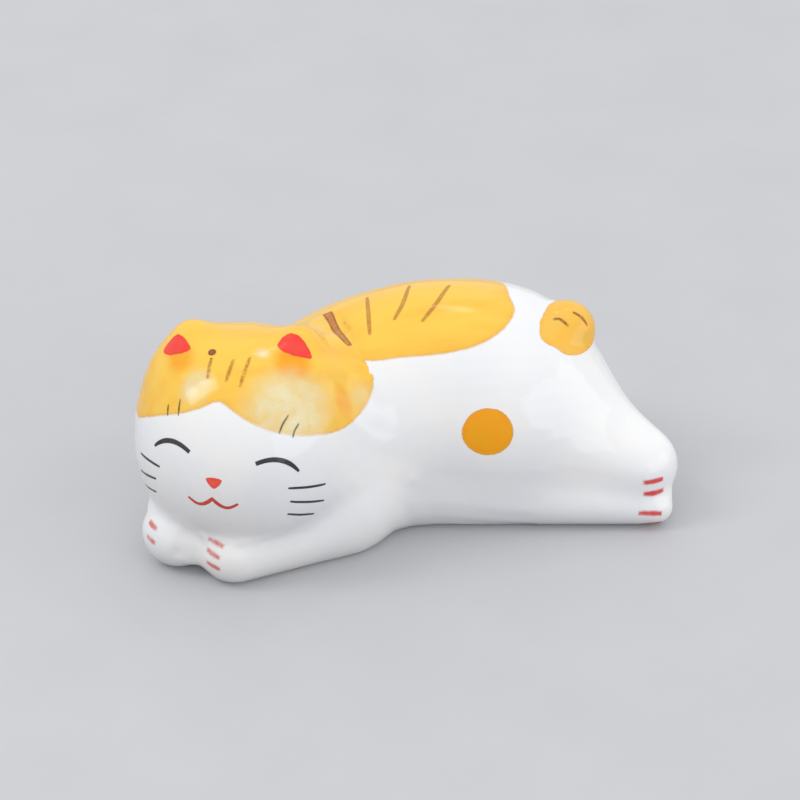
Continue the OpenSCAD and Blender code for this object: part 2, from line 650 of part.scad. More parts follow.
// The cap's edge as bearings from the right temple over the brow to the nape, and on round the far side
cap_near_turns = [[-68, 19], [-47, 32], [-31, 40], [-19, 46], [-5, 52], [13, 45], [28, 38], [46, 31],
    [64, 25], [84, 19], [99, 20], [109, 26]];
cap_far_turns = [[176, 14], [192, 15], [212, 17], [238, 17], [262, 17], [280, 18], [292, 19]];
cap_ring_count = 12;
module cap_patch() color(orange) cut_to([flip(neck_plane)]) {
    nape = [for (t = nape_turns) bearing_to(face_view, neck_rim(t, -film_overrun))];
    edge = open_curve(concat(cap_near_turns, nape, cap_far_turns), 3);
    n = len(edge) - 1;
    bearings = concat([[0, 90]],
        [for (r = [1:cap_ring_count], i = [0:n - 1])
            [edge[i][0], 90 + (edge[i][1] - 90) * r / cap_ring_count]]);
    points = [for (b = bearings, q = lifted(seen(face_view, b), first_coat)) q];
    polyhedron(points, coat_faces(n, cap_ring_count));
}

// The orange back: [share along the torso, degrees from the top towards the near side]
back_edge_shares = [[-0.286, 35], [-0.027, 36], [0.205, 34], [0.384, 27], [0.49, 16], [0.49, 4],
    [0.5, -12], [0.42, -28], [0.2, -38], [-0.05, -40], [-0.32, -41]];
back_middle_share = [-0.02, -2];
back_ring_count = 10;
module back_patch() color(orange) cut_to([neck_plane]) {
    nape = [for (i = [len(nape_turns) - 1:-1:0]) share_to(back_view, neck_rim(nape_turns[i], film_overrun))];
    wide_coat(back_view, back_middle_share, ring_curve(concat(nape, back_edge_shares), 3),
        back_ring_count, first_coat);
}

spot_place_share = [0.2, 77];
spot_ring_count = 3;
module flank_spot() color(deep_orange) translate(-middle) {
    e = easel(back_view, spot_place_share, 0);
    coat(back_view, e[0], drawn(e, circle_points(spot_r, 28)), spot_ring_count, first_coat);
}

// The orange on the bob tail hangs lowest on the near side, a little beyond the bob
tail_patch_turns = [[-58, 38], [-48, 28], [-40, 19], [-31, 14], [-24, 10], [-15, 3], [1, -5], [28, -14],
    [58, -13], [90, 0], [120, 14], [150, 28], [180, 44], [222, 60], [262, 56]];
tail_ring_count = 5;
module tail_patch() color(orange) translate(-middle) {
    edge = ring_curve([for (b = tail_patch_turns) seen(tail_view, b)], 2);
    coat(tail_view, tail_at + tail_r * tail_out, edge, tail_ring_count, first_coat);
}

// Shares of its width that a stroke keeps at its two ends
blunt_shares = [0.5, 0.5];
fine_shares = [0.35, 0.35];
trailing_shares = [0.75, 0.15];
leading_shares = [0.15, 0.75];
mark_step_count = 5;
forehead_dot_turns = [-54, 74];
forehead_stripe_turns = [[[-44, 72], [-26, 62]], [[-4, 77], [-4, 63]], [[34, 78], [12, 61]]];
module forehead_marks() color(brown) translate(-middle) {
    e = easel(face_view, forehead_dot_turns, 0);
    coat(face_view, e[0], drawn(e, circle_points(forehead_dot_r, 12)), 1, second_coat);
    for (b = forehead_stripe_turns)
        stroke(face_view, line_through(face_view, b, mark_step_count),
            forehead_stripe_w, fine_shares, second_coat);
}

// Stripes over the back, each from the ridge down the near side
nape_stripe_shares = [[-0.66, -7], [-0.643, 7], [-0.622, 18], [-0.589, 25]];
back_stripe_shares = [[[-0.395, -10], [-0.432, 8], [-0.454, 20]], [[-0.114, -11], [-0.2, 4], [-0.286, 14]],
    [[0.13, -6], [0.005, 8], [-0.119, 18]]];
module back_stripes() color(brown) translate(-middle) {
    stroke(back_view, line_through(back_view, nape_stripe_shares, 3), back_stripe_w, trailing_shares,
        second_coat);
    for (b = back_stripe_shares)
        stroke(back_view, line_through(back_view, b, mark_step_count), fine_stripe_w, fine_shares,
            second_coat);
}

tail_mark_turns = [[[-47, 42], [-34, 49], [-9, 37]], [[14, 65], [35, 48], [39, 27]]];
module tail_marks() color(brown) translate(-middle)
    for (b = tail_mark_turns)
        stroke(tail_view, line_through(tail_view, b, 3), tail_mark_w, fine_shares, second_coat);

left_lining_turns = [[96, 73], [118, 67], [94, 56], [86, 66]];
right_lining_turns = [[-85, 51], [-75, 55], [-73, 65], [-94, 59]];
lining_ring_count = 3;
module ear_lining(corners) color(red) translate(-middle) {
    targets = [for (b = corners) seen(face_view, b)];
    coat(face_view, mean(targets), ring_curve(targets, 4), lining_ring_count, second_coat);
}

// A closed eye is an arc, higher in the middle and thicker at its inner end: [bearing, tilt]
left_eye_turns = [34, 16, -21];
right_eye_turns = [-31, 20, 14.5];
module eye(turns, shares) color(black) translate(-middle) {
    e = easel(face_view, turns, turns[2]);
    arc = [for (i = [-6:6]) [eye_w * i / 12, eye_h * (1 - i * i / 36)]];
    stroke(face_view, drawn(e, arc), eye_line_w, shares, first_coat);
}

nose_turns = [-2, 8];
nose_shares = [[0.5, 0.35], [0, 0.5], [-0.5, 0.35], [-0.3, -0.2], [0, -0.5], [0.3, -0.2]];
module nose() color(red) translate(-middle) {
    e = easel(face_view, nose_turns, 0);
    edge = ring_curve([for (q = nose_shares) [q[0] * nose_w, q[1] * nose_h]], 3);
    coat(face_view, e[0], drawn(e, edge), 1, first_coat);
}

// The mouth hangs in two lobes from a point under the nose
mouth_turns = [-3, -2];
mouth_drop_share = 0.55;
module mouth() color(red) translate(-middle) {
    e = easel(face_view, mouth_turns, 0);
    line = [for (i = [-9:9]) let (t = abs(i) / 9)
        [mouth_lobe_w * i / 9, -mouth_lobe_h * (sin(180 * t) + mouth_drop_share * t)]];
    stroke(face_view, drawn(e, line), mouth_line_w, fine_shares, first_coat);
}

// Whiskers run from the muzzle outwards, brow marks from the crown down
left_whisker_turns = [[[39, 3], [62, -3]], [[40, -6], [62, -14]], [[39, -15], [57, -22]]];
right_whisker_turns = [[[-37, 7], [-56, 5]], [[-40, -2], [-58, -7]], [[-42, -12], [-57, -16]]];
left_brow_turns = [[[48, 42], [41.6, 38], [38, 34]], [[53, 36], [48.4, 33.2], [46, 30]]];
right_brow_turns = [[[-45, 40], [-41, 35]], [[-38, 46], [-33, 38]]];
module fine_lines(lines, width, lifts) color(black) translate(-middle)
    for (b = lines)
        stroke(face_view, line_through(face_view, b, mark_step_count), width, fine_shares, lifts);
module whiskers(lines) fine_lines(lines, whisker_line_w, first_coat);
module brow_marks(lines) fine_lines(lines, brow_line_w, second_coat);

// Bearings of the toe marks on the paws, and how far the marks of the forepaws are turned
left_paw_turns = [[-22, 39], [-24, 19], [-23, -3]];
right_paw_turns = [[-38, 32], [-34, 9]];
left_foot_turns = [[-15, 11], [-18, -40]];
right_foot_turns = [[17, 5], [18, -15]];
forepaw_turn = -10;
module toes(view, bearings, roll, long) color(red) translate(-middle)
    for (b = bearings) {
        e = easel(view, b, roll);
        stroke(view, drawn(e, [for (i = [-3:3]) [long * i / 6, 0]]), toe_w, blunt_shares, first_coat);
    }

torso();
head();
ear(1);  // left_ear
ear(-1);  // right_ear
left_foreleg();
right_foreleg();
left_hind_leg();
right_hind_leg();
tail();
cap_patch();
back_patch();
flank_spot();
tail_patch();
forehead_marks();
back_stripes();
tail_marks();
ear_lining(left_lining_turns);  // left_ear_lining
ear_lining(right_lining_turns);  // right_ear_lining
eye(left_eye_turns, trailing_shares);  // left_eye
eye(right_eye_turns, leading_shares);  // right_eye
nose();
mouth();
whiskers(left_whisker_turns);  // left_whiskers
whiskers(right_whisker_turns);  // right_whiskers
brow_marks(left_brow_turns);  // left_brow_marks
brow_marks(right_brow_turns);  // right_brow_marks
toes(left_paw_view, left_paw_turns, forepaw_turn, left_toe_l);  // left_forepaw_toes
toes(right_paw_view, right_paw_turns, forepaw_turn, right_toe_l);  // right_forepaw_toes
toes(left_foot_view, left_foot_turns, 0, hind_toe_l);  // left_hind_paw_toes
toes(right_foot_view, right_foot_turns, 0, hind_toe_l);  // right_hind_paw_toes
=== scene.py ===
# %% [markdown]
# A chopstick rest in the form of a lying cat. The real one is cast hollow from porcelain slip in
# several members, which are joined while soft, covered in clear glaze, fired, and painted with
# enamel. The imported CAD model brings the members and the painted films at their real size. This
# lesson turns them into one flowing glazed surface, cut at the same joints, with paint that lies on
# it as thin as paint.

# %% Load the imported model
import json
import math

import bpy
import numpy as np
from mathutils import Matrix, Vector
from mathutils.bvhtree import BVHTree
from mathutils.interpolate import poly_3d_calc


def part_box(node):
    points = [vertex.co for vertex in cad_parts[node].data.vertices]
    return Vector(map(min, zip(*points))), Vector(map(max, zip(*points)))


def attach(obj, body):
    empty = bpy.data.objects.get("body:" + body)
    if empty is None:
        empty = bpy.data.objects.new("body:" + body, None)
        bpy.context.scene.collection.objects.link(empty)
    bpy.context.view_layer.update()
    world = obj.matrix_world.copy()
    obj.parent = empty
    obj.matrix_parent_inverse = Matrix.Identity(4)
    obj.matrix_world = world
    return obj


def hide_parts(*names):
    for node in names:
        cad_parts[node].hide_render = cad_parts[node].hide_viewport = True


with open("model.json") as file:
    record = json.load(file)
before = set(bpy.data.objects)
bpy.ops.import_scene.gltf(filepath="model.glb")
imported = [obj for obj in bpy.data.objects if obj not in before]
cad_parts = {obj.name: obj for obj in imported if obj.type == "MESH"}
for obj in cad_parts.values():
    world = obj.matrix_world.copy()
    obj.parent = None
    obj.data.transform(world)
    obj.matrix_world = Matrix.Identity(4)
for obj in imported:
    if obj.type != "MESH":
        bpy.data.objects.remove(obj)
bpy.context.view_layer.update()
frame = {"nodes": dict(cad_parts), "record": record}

MM = 0.001
slot_of = {row["node"]: row["material_slot"] for row in frame["record"]["subparts"]}
clay_nodes = [n for n, slot in slot_of.items() if slot == "glazed_porcelain"]

# %% [markdown]
# The camera stands about 420 mm away, a little to the left of the cat's middle, and looks down by
# 33 degrees. It looks at a point inside the body. A long lens keeps the proportions of a product
# photograph. It is made first, because everything later is judged through it.

# %% Camera
def pointed_at(obj, target):
    obj.rotation_euler = (Vector(target) - obj.location).to_track_quat("-Z", "Y").to_euler()


def from_bearing(target, azimuth, elevation, distance):
    """A place at a distance from a target, by angles in degrees; azimuth 0 is in front, towards -Y."""
    a, e = math.radians(azimuth), math.radians(elevation)
    direction = Vector((math.sin(a) * math.cos(e), -math.cos(a) * math.cos(e), math.sin(e)))
    return Vector(target) + distance * direction


look_at = Vector((0.2, 0.65, 13.5)) * MM
camera_azimuth, camera_elevation, camera_distance = -12, 33, 420 * MM
lens, sensor_width = 160.65, 36
camera_place = from_bearing(look_at, camera_azimuth, camera_elevation, camera_distance)
bpy.ops.object.camera_add(location=camera_place)
camera = bpy.context.object
camera.data.lens = lens
camera.data.sensor_width = sensor_width
camera.data.clip_start = 10 * MM
pointed_at(camera, look_at)
bpy.context.scene.camera = camera

# %% [markdown]
# Blender's operators work on whatever is selected, and a freshly loaded model is selected all
# over. These helpers leave one object selected and active, apply a modifier by its kind, and copy
# a CAD node without the marks that tie it to the frame. A node's own mesh is never changed.

# %% Helpers for operators
def only(*objects):
    bpy.ops.object.select_all(action="DESELECT")
    for o in objects:
        o.select_set(True)
    bpy.context.view_layer.objects.active = objects[0]


def applied(obj, kind, **settings):
    only(obj)
    modifier = obj.modifiers.new(kind, kind)
    for name, value in settings.items():
        setattr(modifier, name, value)
    bpy.ops.object.modifier_apply(modifier=modifier.name)


def copy_of(obj, name):
    new = obj.copy()
    new.data = obj.data.copy()
    new.name = new.data.name = name
    new.parent = None
    for key in list(new.keys()):
        del new[key]
    new.hide_render = new.hide_viewport = False
    bpy.context.scene.collection.objects.link(new)
    return new


def edit(obj):
    only(obj)
    bpy.ops.object.mode_set(mode="EDIT")
    bpy.ops.mesh.select_mode(type="VERT")


def done():
    bpy.ops.object.mode_set(mode="OBJECT")


def mesh_array(mesh, what):
    """Places ("co") or normals ("normal") of all vertices, one row each."""
    flat = np.empty(len(mesh.vertices) * 3, np.float32)
    mesh.vertices.foreach_get(what, flat)
    return flat.reshape(-1, 3).astype(float)


# %% [markdown]
# Two members meet in a flat joint face. The CAD nodes hold that face twice, once on each member
# and pointing opposite ways, so the plane can be read from the pair and isn't typed in here. Only
# the largest faces of a member are tried, since a joint face is always among them.

# %% Joint planes
faces_tried = 80
same_direction = 0.9999
same_plane = 0.01 * MM


def faces_of(node):
    """The normals, centres and areas of a node's faces, one row each."""
    mesh = frame["nodes"][node].data
    count = len(mesh.polygons)
    found = {}
    for what, width in (("normal", 3), ("center", 3), ("area", 1)):
        flat = np.empty(count * width, np.float32)
        mesh.polygons.foreach_get(what, flat)
        found[what] = flat.reshape(count, width).astype(float).squeeze()
    return found["normal"], found["center"], found["area"]


def joint(inner, outer):
    """Where two members meet: a point of the plane, and the normal that points out of inner."""
    normal_in, center_in, area_in = faces_of(inner)
    normal_out, center_out, area_out = faces_of(outer)
    best = (0, None, None)
    for i in np.argsort(-area_in)[:faces_tried]:
        n, d = normal_in[i], center_in[i] @ normal_in[i]
        own = (normal_in @ n > same_direction) & (abs(center_in @ n - d) < same_plane)
        facing = (normal_out @ n < -same_direction) & (abs(center_out @ n - d) < same_plane)
        shared = min(area_in[own].sum(), area_out[facing].sum())
        if shared > best[0]:
            best = (shared, center_in[i], n)
    print(f"{inner} meets {outer} over {best[0] / MM**2:.0f} square mm")
    return best[1], best[2]


joints_round = {
    "torso": [("torso", "head"), ("torso", "right_hind_leg"), ("torso", "tail")],
    "head": [("head", "torso"), ("head", "left_foreleg"), ("head", "left_ear"), ("head", "right_ear")],
    "left_ear": [("left_ear", "head"), ("head", "torso")],
    "right_ear": [("right_ear", "head"), ("head", "torso")],
    "left_foreleg": [("head", "torso"), ("left_foreleg", "head"), ("left_foreleg", "right_foreleg")],
    "right_foreleg": [("head", "torso"), ("right_foreleg", "head"), ("right_foreleg", "left_foreleg")],
    "left_hind_leg": [("right_hind_leg", "torso"), ("left_hind_leg", "right_hind_leg")],
    "right_hind_leg": [("right_hind_leg", "torso"), ("right_hind_leg", "left_hind_leg")],
    "tail": [("tail", "torso")],
}
planes = {pair: joint(*pair) for pairs in joints_round.values() for pair in pairs}


# %% [markdown]
# Under the glaze the joints between the members disappear, and no facet shows. So the members are
# copied and united, then remeshed with small voxels into one skin, which is relaxed until
# reflections run over it without a break. Two joint faces that only touch would stay inside and
# pull the remeshed surface into a groove along the joint, so each is first moved a hair into its
# neighbour. Subdividing the faceted members themselves would round off their flat joint faces and
# open gaps, so the skin is made first and cut again afterwards.

# %% One flowing skin
voxel = 0.25 * MM
relax_steps, relax_factor = 24, 0.5
overlap = 0.02 * MM
merge_width = 0.001 * MM
joint_width = 0.003 * MM


def reaching_over(node):
    """A merged copy of a member, whose joint faces reach a hair into its neighbours."""
    clay = copy_of(frame["nodes"][node], "clay_" + node)
    edit(clay)
    bpy.ops.mesh.select_all(action="SELECT")
    bpy.ops.mesh.remove_doubles(threshold=merge_width)
    done()
    co = mesh_array(clay.data, "co")
    for pair in joints_round[node]:
        point, normal = planes[pair]
        co += np.outer(abs((co - point) @ normal) < joint_width, normal) * overlap
    clay.data.vertices.foreach_set("co", co.astype(np.float32).ravel())
    clay.data.update()
    return clay


def glazed_skin():
    """All members united into one smooth surface."""
    skin, *others = [reaching_over(n) for n in clay_nodes]
    for clay in others:
        applied(skin, "BOOLEAN", operation="UNION", solver="EXACT", object=clay)
        bpy.data.objects.remove(clay)
    print("united:", len(skin.data.polygons), "faces")
    applied(skin, "REMESH", mode="VOXEL", voxel_size=voxel)
    applied(skin, "SMOOTH", factor=relax_factor, iterations=relax_steps)
    only(skin)
    bpy.ops.object.shade_smooth()
    return skin


skin = glazed_skin()
print("skin:", len(skin.data.polygons), "faces")


# %% [markdown]
# A cut changes the faces along it, and with them the smoothed normals, which would show as a
# hairline in the glaze. Every piece that is made from the skin therefore takes the skin's own
# normals where it follows the skin, so the reflections run on over each joint. The joint faces and
# the undersides stay flat, with sharp edges round them.

# %% Normals taken from the skin
skin_tree = BVHTree.FromObject(skin, bpy.context.evaluated_depsgraph_get())
skin_places = [v.co.copy() for v in skin.data.vertices]
skin_normals = [v.normal.copy() for v in skin.data.vertices]


def skin_normal_near(point):
    """The smooth normal at the place of the skin that is nearest to a point."""
    place, _, face, _ = skin_tree.find_nearest(point)
    corners = skin.data.polygons[face].vertices
    shares = poly_3d_calc([skin_places[c] for c in corners], place)
    return sum((skin_normals[c] * share for c, share in zip(corners, shares)), Vector()).normalized()


def with_skin_normals(obj, follows_skin):
    """Gives the skin's normals to the faces for which follows_skin is true."""
    mesh = obj.data
    follows = [follows_skin(p) for p in mesh.polygons]
    smooth, loop_normals, kinds = {}, [None] * len(mesh.loops), {}
    for polygon, on_skin in zip(mesh.polygons, follows):
        polygon.use_smooth = on_skin
        for loop in polygon.loop_indices:
            vertex = mesh.loops[loop].vertex_index
            if on_skin and vertex not in smooth:
                smooth[vertex] = skin_normal_near(mesh.vertices[vertex].co)
            loop_normals[loop] = smooth[vertex] if on_skin else polygon.normal.copy()
            kinds.setdefault(mesh.loops[loop].edge_index, set()).add(on_skin)
    for edge, sides in kinds.items():
        mesh.edges[edge].use_edge_sharp = len(sides) == 2
    mesh.normals_split_custom_set(loop_normals)


# %% [markdown]
# Each member is a copy of the skin, cut at its joint planes and closed there, so two neighbours
# meet face to face as the luted clay does. A cut takes vertices within a width of its plane as
# lying on it. By default that is a tenth of a millimetre, which would tear teeth into a mesh this
# fine.

# %% Members cut from the skin
cut_width = 0.0001 * MM
flat_enough = 0.999
near_plane = 0.002 * MM


def keep_inside(obj, point, normal, fill=True):
    """Cuts off what lies beyond a plane, on the side that the normal points to."""
    edit(obj)
    bpy.ops.mesh.select_all(action="SELECT")
    bpy.ops.mesh.bisect(plane_co=point, plane_no=normal, use_fill=fill, clear_outer=True, threshold=cut_width)
    done()


def lies_on(polygon, point, normal):
    """Whether a face lies in a plane."""
    normal = Vector(normal)
    away = (polygon.center - Vector(point)).dot(normal)
    return abs(polygon.normal.dot(normal)) > flat_enough and abs(away) < near_plane


def stands_for(piece, node):
    """Puts a piece in the place of its CAD node, on the one body that there is."""
    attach(piece, "root")
    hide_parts(node)


members = {}
for node, pairs in joints_round.items():
    piece = members[node] = copy_of(skin, node + "_glazed")
    for pair in pairs:
        keep_inside(piece, *planes[pair])
    with_skin_normals(piece, lambda face: not any(lies_on(face, *planes[pair]) for pair in pairs))
    stands_for(piece, node)

# %% [markdown]
# Enamel is painted on the glaze and fired again. Each painted area is a thin closed film of its
# own. The film is a patch of the skin, lifted a hair above it, and it carries an attribute: the
# distance of each point from the edge of the paint, below zero inside. The material draws the
# edge of the paint from it, so the edge stays crisp however coarse the mesh is. A picture of the
# marks would do the same from one side only, and would need a file.
#
# A ray along the skin's normal tells whether a point lies under the CAD film, and the nearest of
# the film's narrow side walls tells how far the edge is. The orange of the cap runs on over the
# back, so these two films share one edge, and the walls in the joint between them don't count.
# In the dip behind the head the nearest place of the skin can lie on the far slope, which makes a
# broad face look like a wall, so a wall has to be narrow as well. There the CAD films bridge the
# dip, and a mark's film is looked for less far above the skin than the wash's, or it would show
# twice.

# %% Distance to the edge of a painted area
half_upright = 0.5
wall_width = 0.2 * MM
depth_below = 1.4 * MM
mark_reach = 0.9 * MM
wash_reach = 1.6 * MM


def film_trees(nodes, seam=None, reach=mark_reach):
    """The CAD films of an area: trees of all faces and of the walls, the walls' height, the reach."""
    places, faces, walls, heights = [], [], [], []
    for node in nodes:
        mesh = frame["nodes"][node].data
        first = len(places)
        places += [v.co.copy() for v in mesh.vertices]
        for polygon in mesh.polygons:
            faces.append([first + v for v in polygon.vertices])
            place, out, _, _ = skin_tree.find_nearest(polygon.center)
            longest = max((places[first + a] - places[first + b]).length for a, b in polygon.edge_keys)
            narrow = 2 * polygon.area / longest < wall_width
            upright = abs(polygon.normal.dot(out)) < half_upright
            if narrow and upright and not (seam and lies_on(polygon, *seam)):
                walls.append(faces[-1])
                heights.append((polygon.center - place).dot(out))
    trees = [BVHTree.FromPolygons(places, these) for these in (faces, walls)]
    return trees + [sum(heights) / len(heights), reach]


def edge_distance(mesh, film):
    """For each vertex the distance along the skin to the film's edge in mm, below zero under it."""
    faces, walls, height, reach = film
    found = np.empty(len(mesh.vertices))
    for i, vertex in enumerate(mesh.vertices):
        out = vertex.normal
        hit = faces.ray_cast(vertex.co - out * depth_below, out, depth_below + reach)[0]
        raised = vertex.co + out * height
        away = raised - walls.find_nearest(raised)[0]
        found[i] = (away - out * away.dot(out)).length / MM * (1 if hit is None else -1)
    return found


# %% [markdown]
# A film is kept a little wider than its paint, so that the paint always ends in the material. A
# first, coarse cut leaves room for the finer mesh, and the last one leaves the margin. There the
# rim is sunk into the glaze, where it can't be seen. Each coat lies one lift above the one below.

# %% Painted films
box_spare, coarse_spare, margin = 1, 0.5, 0.12
paint_lift = 0.025 * MM
film_depth = 0.12 * MM


def keep_near(obj, distance, limit):
    """Deletes the vertices whose distance, in mm, is over the limit."""
    edit(obj)
    bpy.ops.mesh.select_all(action="DESELECT")
    done()
    obj.data.vertices.foreach_set("select", distance > limit)
    edit(obj)
    bpy.ops.mesh.delete(type="VERT")
    done()


def enamel(node, film, detail, layer, seam=None):
    """A painted film: detail is how often its faces are halved, layer counts the coats below."""
    piece = copy_of(skin, node + "_enamel")
    low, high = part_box(node)
    co = mesh_array(piece.data, "co")
    beyond = np.maximum(np.array(low) - co, co - np.array(high)).max(axis=1) / MM
    keep_near(piece, beyond, box_spare)
    keep_near(piece, edge_distance(piece.data, film), coarse_spare + margin)
    if detail:
        applied(piece, "SUBSURF", levels=detail, render_levels=detail)
        keep_near(piece, edge_distance(piece.data, film), margin)
    if seam:
        keep_inside(piece, *seam, fill=False)
    distance = edge_distance(piece.data, film)
    attribute = piece.data.attributes.new("edge", "FLOAT", "POINT")
    attribute.data.foreach_set("value", distance.astype(np.float32))
    sunk = np.clip(distance / margin, 0, 1)
    lift = paint_lift * ((1 + layer) * (1 - sunk) - sunk)
    co, normals = mesh_array(piece.data, "co"), mesh_array(piece.data, "normal")
    piece.data.vertices.foreach_set("co", (co + normals * lift[:, None]).astype(np.float32).ravel())
    applied(piece, "SOLIDIFY", thickness=film_depth, offset=-1, use_rim=True)
    with_skin_normals(piece, lambda f: f.normal.dot(skin_tree.find_nearest(f.center)[1]) > half_upright)
    stands_for(piece, node)
    print(f"{node}: {len(piece.data.polygons)} faces, CAD film {film[2] / MM:.2f} mm over the skin")
    return piece


# %% The films, one by one
over_orange = ("forehead_marks", "back_stripes", "tail_marks", "left_ear_lining", "right_ear_lining",
               "left_brow_marks", "right_brow_marks")
orange_film = film_trees(["cap_patch", "back_patch"], planes["torso", "head"], wash_reach)
films = {
    "cap_patch": enamel("cap_patch", orange_film, 0, 0, planes["head", "torso"]),
    "back_patch": enamel("back_patch", orange_film, 0, 0, planes["torso", "head"]),
}
for node in slot_of:
    if node not in clay_nodes and node not in films:
        films[node] = enamel(node, film_trees([node]), 2, 1 if node in over_orange else 0)

# %% [markdown]
# Materials are node trees. To keep the maths readable, a socket is wrapped so that Python's
# operators add the Math nodes, and every other node comes from one method.

# %% Shader maths in Python
class Wire:
    """A socket on which Python's operators work: each expression adds its Math nodes."""

    def __init__(self, finish, socket):
        self.finish, self.socket = finish, socket

    def math(self, operation, first, second):
        return self.finish.node("Math", {"operation": operation}, {0: first, 1: second})

    def __add__(self, other):
        return self.math("ADD", self, other)

    def __sub__(self, other):
        return self.math("SUBTRACT", self, other)

    def __rsub__(self, other):
        return self.math("SUBTRACT", other, self)

    def __mul__(self, other):
        return self.math("MULTIPLY", self, other)

    __radd__ = __add__
    __rmul__ = __mul__

    def limited(self):
        """No less than 0 and no more than 1."""
        return self.finish.node("Math", {"operation": "ADD", "use_clamp": True}, {0: self, 1: 0})

    def rising(self, low, high):
        """0 below low, 1 above high, with a smooth step between them."""
        return self.finish.node("MapRange", {"interpolation_type": "SMOOTHSTEP"},
                                {"Value": self, "From Min": low, "From Max": high})


class Finish:
    """A material that is built up node by node."""

    def __init__(self, name):
        self.material = bpy.data.materials.new(name)
        self.material.use_nodes = True
        self.tree = self.material.node_tree
        self.tree.nodes.clear()
        coordinates = self.node("TexCoord", output="Object")
        self.place = self.node("VectorMath", {"operation": "SCALE"}, {0: coordinates, "Scale": 1 / MM})

    def node(self, kind, settings={}, inputs={}, output=0):
        made = self.tree.nodes.new("ShaderNode" + kind)
        for name, value in settings.items():
            setattr(made, name, value)
        for name, value in inputs.items():
            if isinstance(value, Wire):
                self.tree.links.new(value.socket, made.inputs[name])
            else:
                made.inputs[name].default_value = value
        return Wire(self, made.outputs[output])

    def noise(self, size, stretch=(1, 1, 1), detail=2):
        """Soft noise from 0 to 1 with patches of a size in mm, longer along a stretched axis."""
        at = self.node("VectorMath", {"operation": "DIVIDE"}, {0: self.place, 1: [size * s for s in stretch]})
        return self.node("TexNoise", {}, {"Vector": at, "Scale": 1, "Detail": detail})

    def near(self, place, inner, outer, squeeze=(1, 1, 1)):
        """1 within inner mm of a place, 0 beyond outer mm; a squeezed axis counts for less."""
        apart = self.node("VectorMath", {"operation": "SUBTRACT"}, {0: self.place, 1: place})
        apart = self.node("VectorMath", {"operation": "MULTIPLY"}, {0: apart, 1: squeeze})
        distance = self.node("VectorMath", {"operation": "LENGTH"}, {0: apart}, output="Value")
        return 1 - distance.rising(inner, outer)

    def mixed(self, share, first, second):
        return self.node("Mix", {"data_type": "RGBA"}, {0: share, 6: first, 7: second}, output=2)

    def bumps(self, height, depth):
        return self.node("Bump", {}, {"Height": height, "Strength": 1, "Distance": depth}, output="Normal")

    def shaded(self, **sockets):
        """Ends the material in one shader, whose sockets are named with _ for each space."""
        named = {name.replace("_", " "): value for name, value in sockets.items()}
        shader = self.node("BsdfPrincipled", {}, named)
        surface = self.tree.nodes.new("ShaderNodeOutputMaterial").inputs["Surface"]
        self.tree.links.new(shader.socket, surface)
        return self.material


def screen(red, green, blue):
    """A colour as a screen shows it, 0 to 255, as the shader wants it."""
    parts = [c / 255 for c in (red, green, blue)]
    return [c / 12.92 if c <= 0.04045 else ((c + 0.055) / 1.055) ** 2.4 for c in parts] + [1]


# %% [markdown]
# The glaze is a clear glass over white clay. It is nearly even, a little cooler where it is thick,
# and very slightly wavy, which shows only in the highlights. The foot, where the piece stood in
# the kiln, has no glaze and is matt.

# %% White glaze
glaze_ior = 1.52
ripple_depth = 0.004 * MM


def white_glaze():
    f = Finish("white_glaze")
    tone = f.noise(9, detail=3).rising(0.3, 0.75)
    color = f.mixed(tone, screen(243, 243, 241), screen(236, 239, 242))
    height = f.node("SeparateXYZ", {}, {0: f.place}, output="Z")
    bare = 1 - height.rising(0.05, 0.35)
    roughness = bare * 0.55 + 0.07
    return f.shaded(Base_Color=color, Roughness=roughness, IOR=glaze_ior,
                    Normal=f.bumps(f.noise(2.6), ripple_depth))


glaze = white_glaze()
for piece in members.values():
    piece.data.materials.clear()
    piece.data.materials.append(glaze)


# %% [markdown]
# Brushed enamel lets some of the white through where the brush ran dry, gathers at the edge of a
# wide area, and ends in a soft, slightly uneven edge. Alpha follows the distance attribute, and
# noise makes it waver by about a tenth of a millimetre. Each enamel has a light and a dark colour
# for thin and thick paint.

# %% Paint that ends at the edge attribute
class Enamel(Finish):
    """Softness, waver and spread say in mm how soft, uneven and far out the edge of the paint is."""

    def __init__(self, name, softness, waver, spread=0):
        super().__init__(name)
        self.edge = self.node("Attribute", {"attribute_name": "edge"}, output="Fac")
        uneven = self.edge + (self.noise(0.8) - 0.5) * waver
        self.inside = 1 - uneven.rising(spread - softness, spread + softness * 0.4)

    def glossy(self, color, alpha, brushed, depth=0.003, shine=0.5):
        """Brushed is a pattern that stands up by depth, in mm; shine is how much the paint reflects."""
        return self.shaded(Base_Color=color, Alpha=alpha, Roughness=brushed * 0.06 + 0.08, IOR=glaze_ior,
                           Specular_IOR_Level=shine, Normal=self.bumps(brushed, depth * MM))


# %% [markdown]
# The orange is one wash over crown, nape and back. Under the ears and down the neck crease it is
# painted deeper as painted shade. Over the brows it is paler, partly from thin paint and partly as
# painted light: a painted reflection on the near brow and a painted highlight on the far brow. Beside
# the near ear a painted highlight stands for a glint, and one more patch, at the cheek place, is
# paler. These places are named by where they are on the cat, in mm.

# %% Orange wash
# The glint place holds a painted highlight beside the near ear, in mm.
glint_place = (-17.2, -6.2, 26.5)


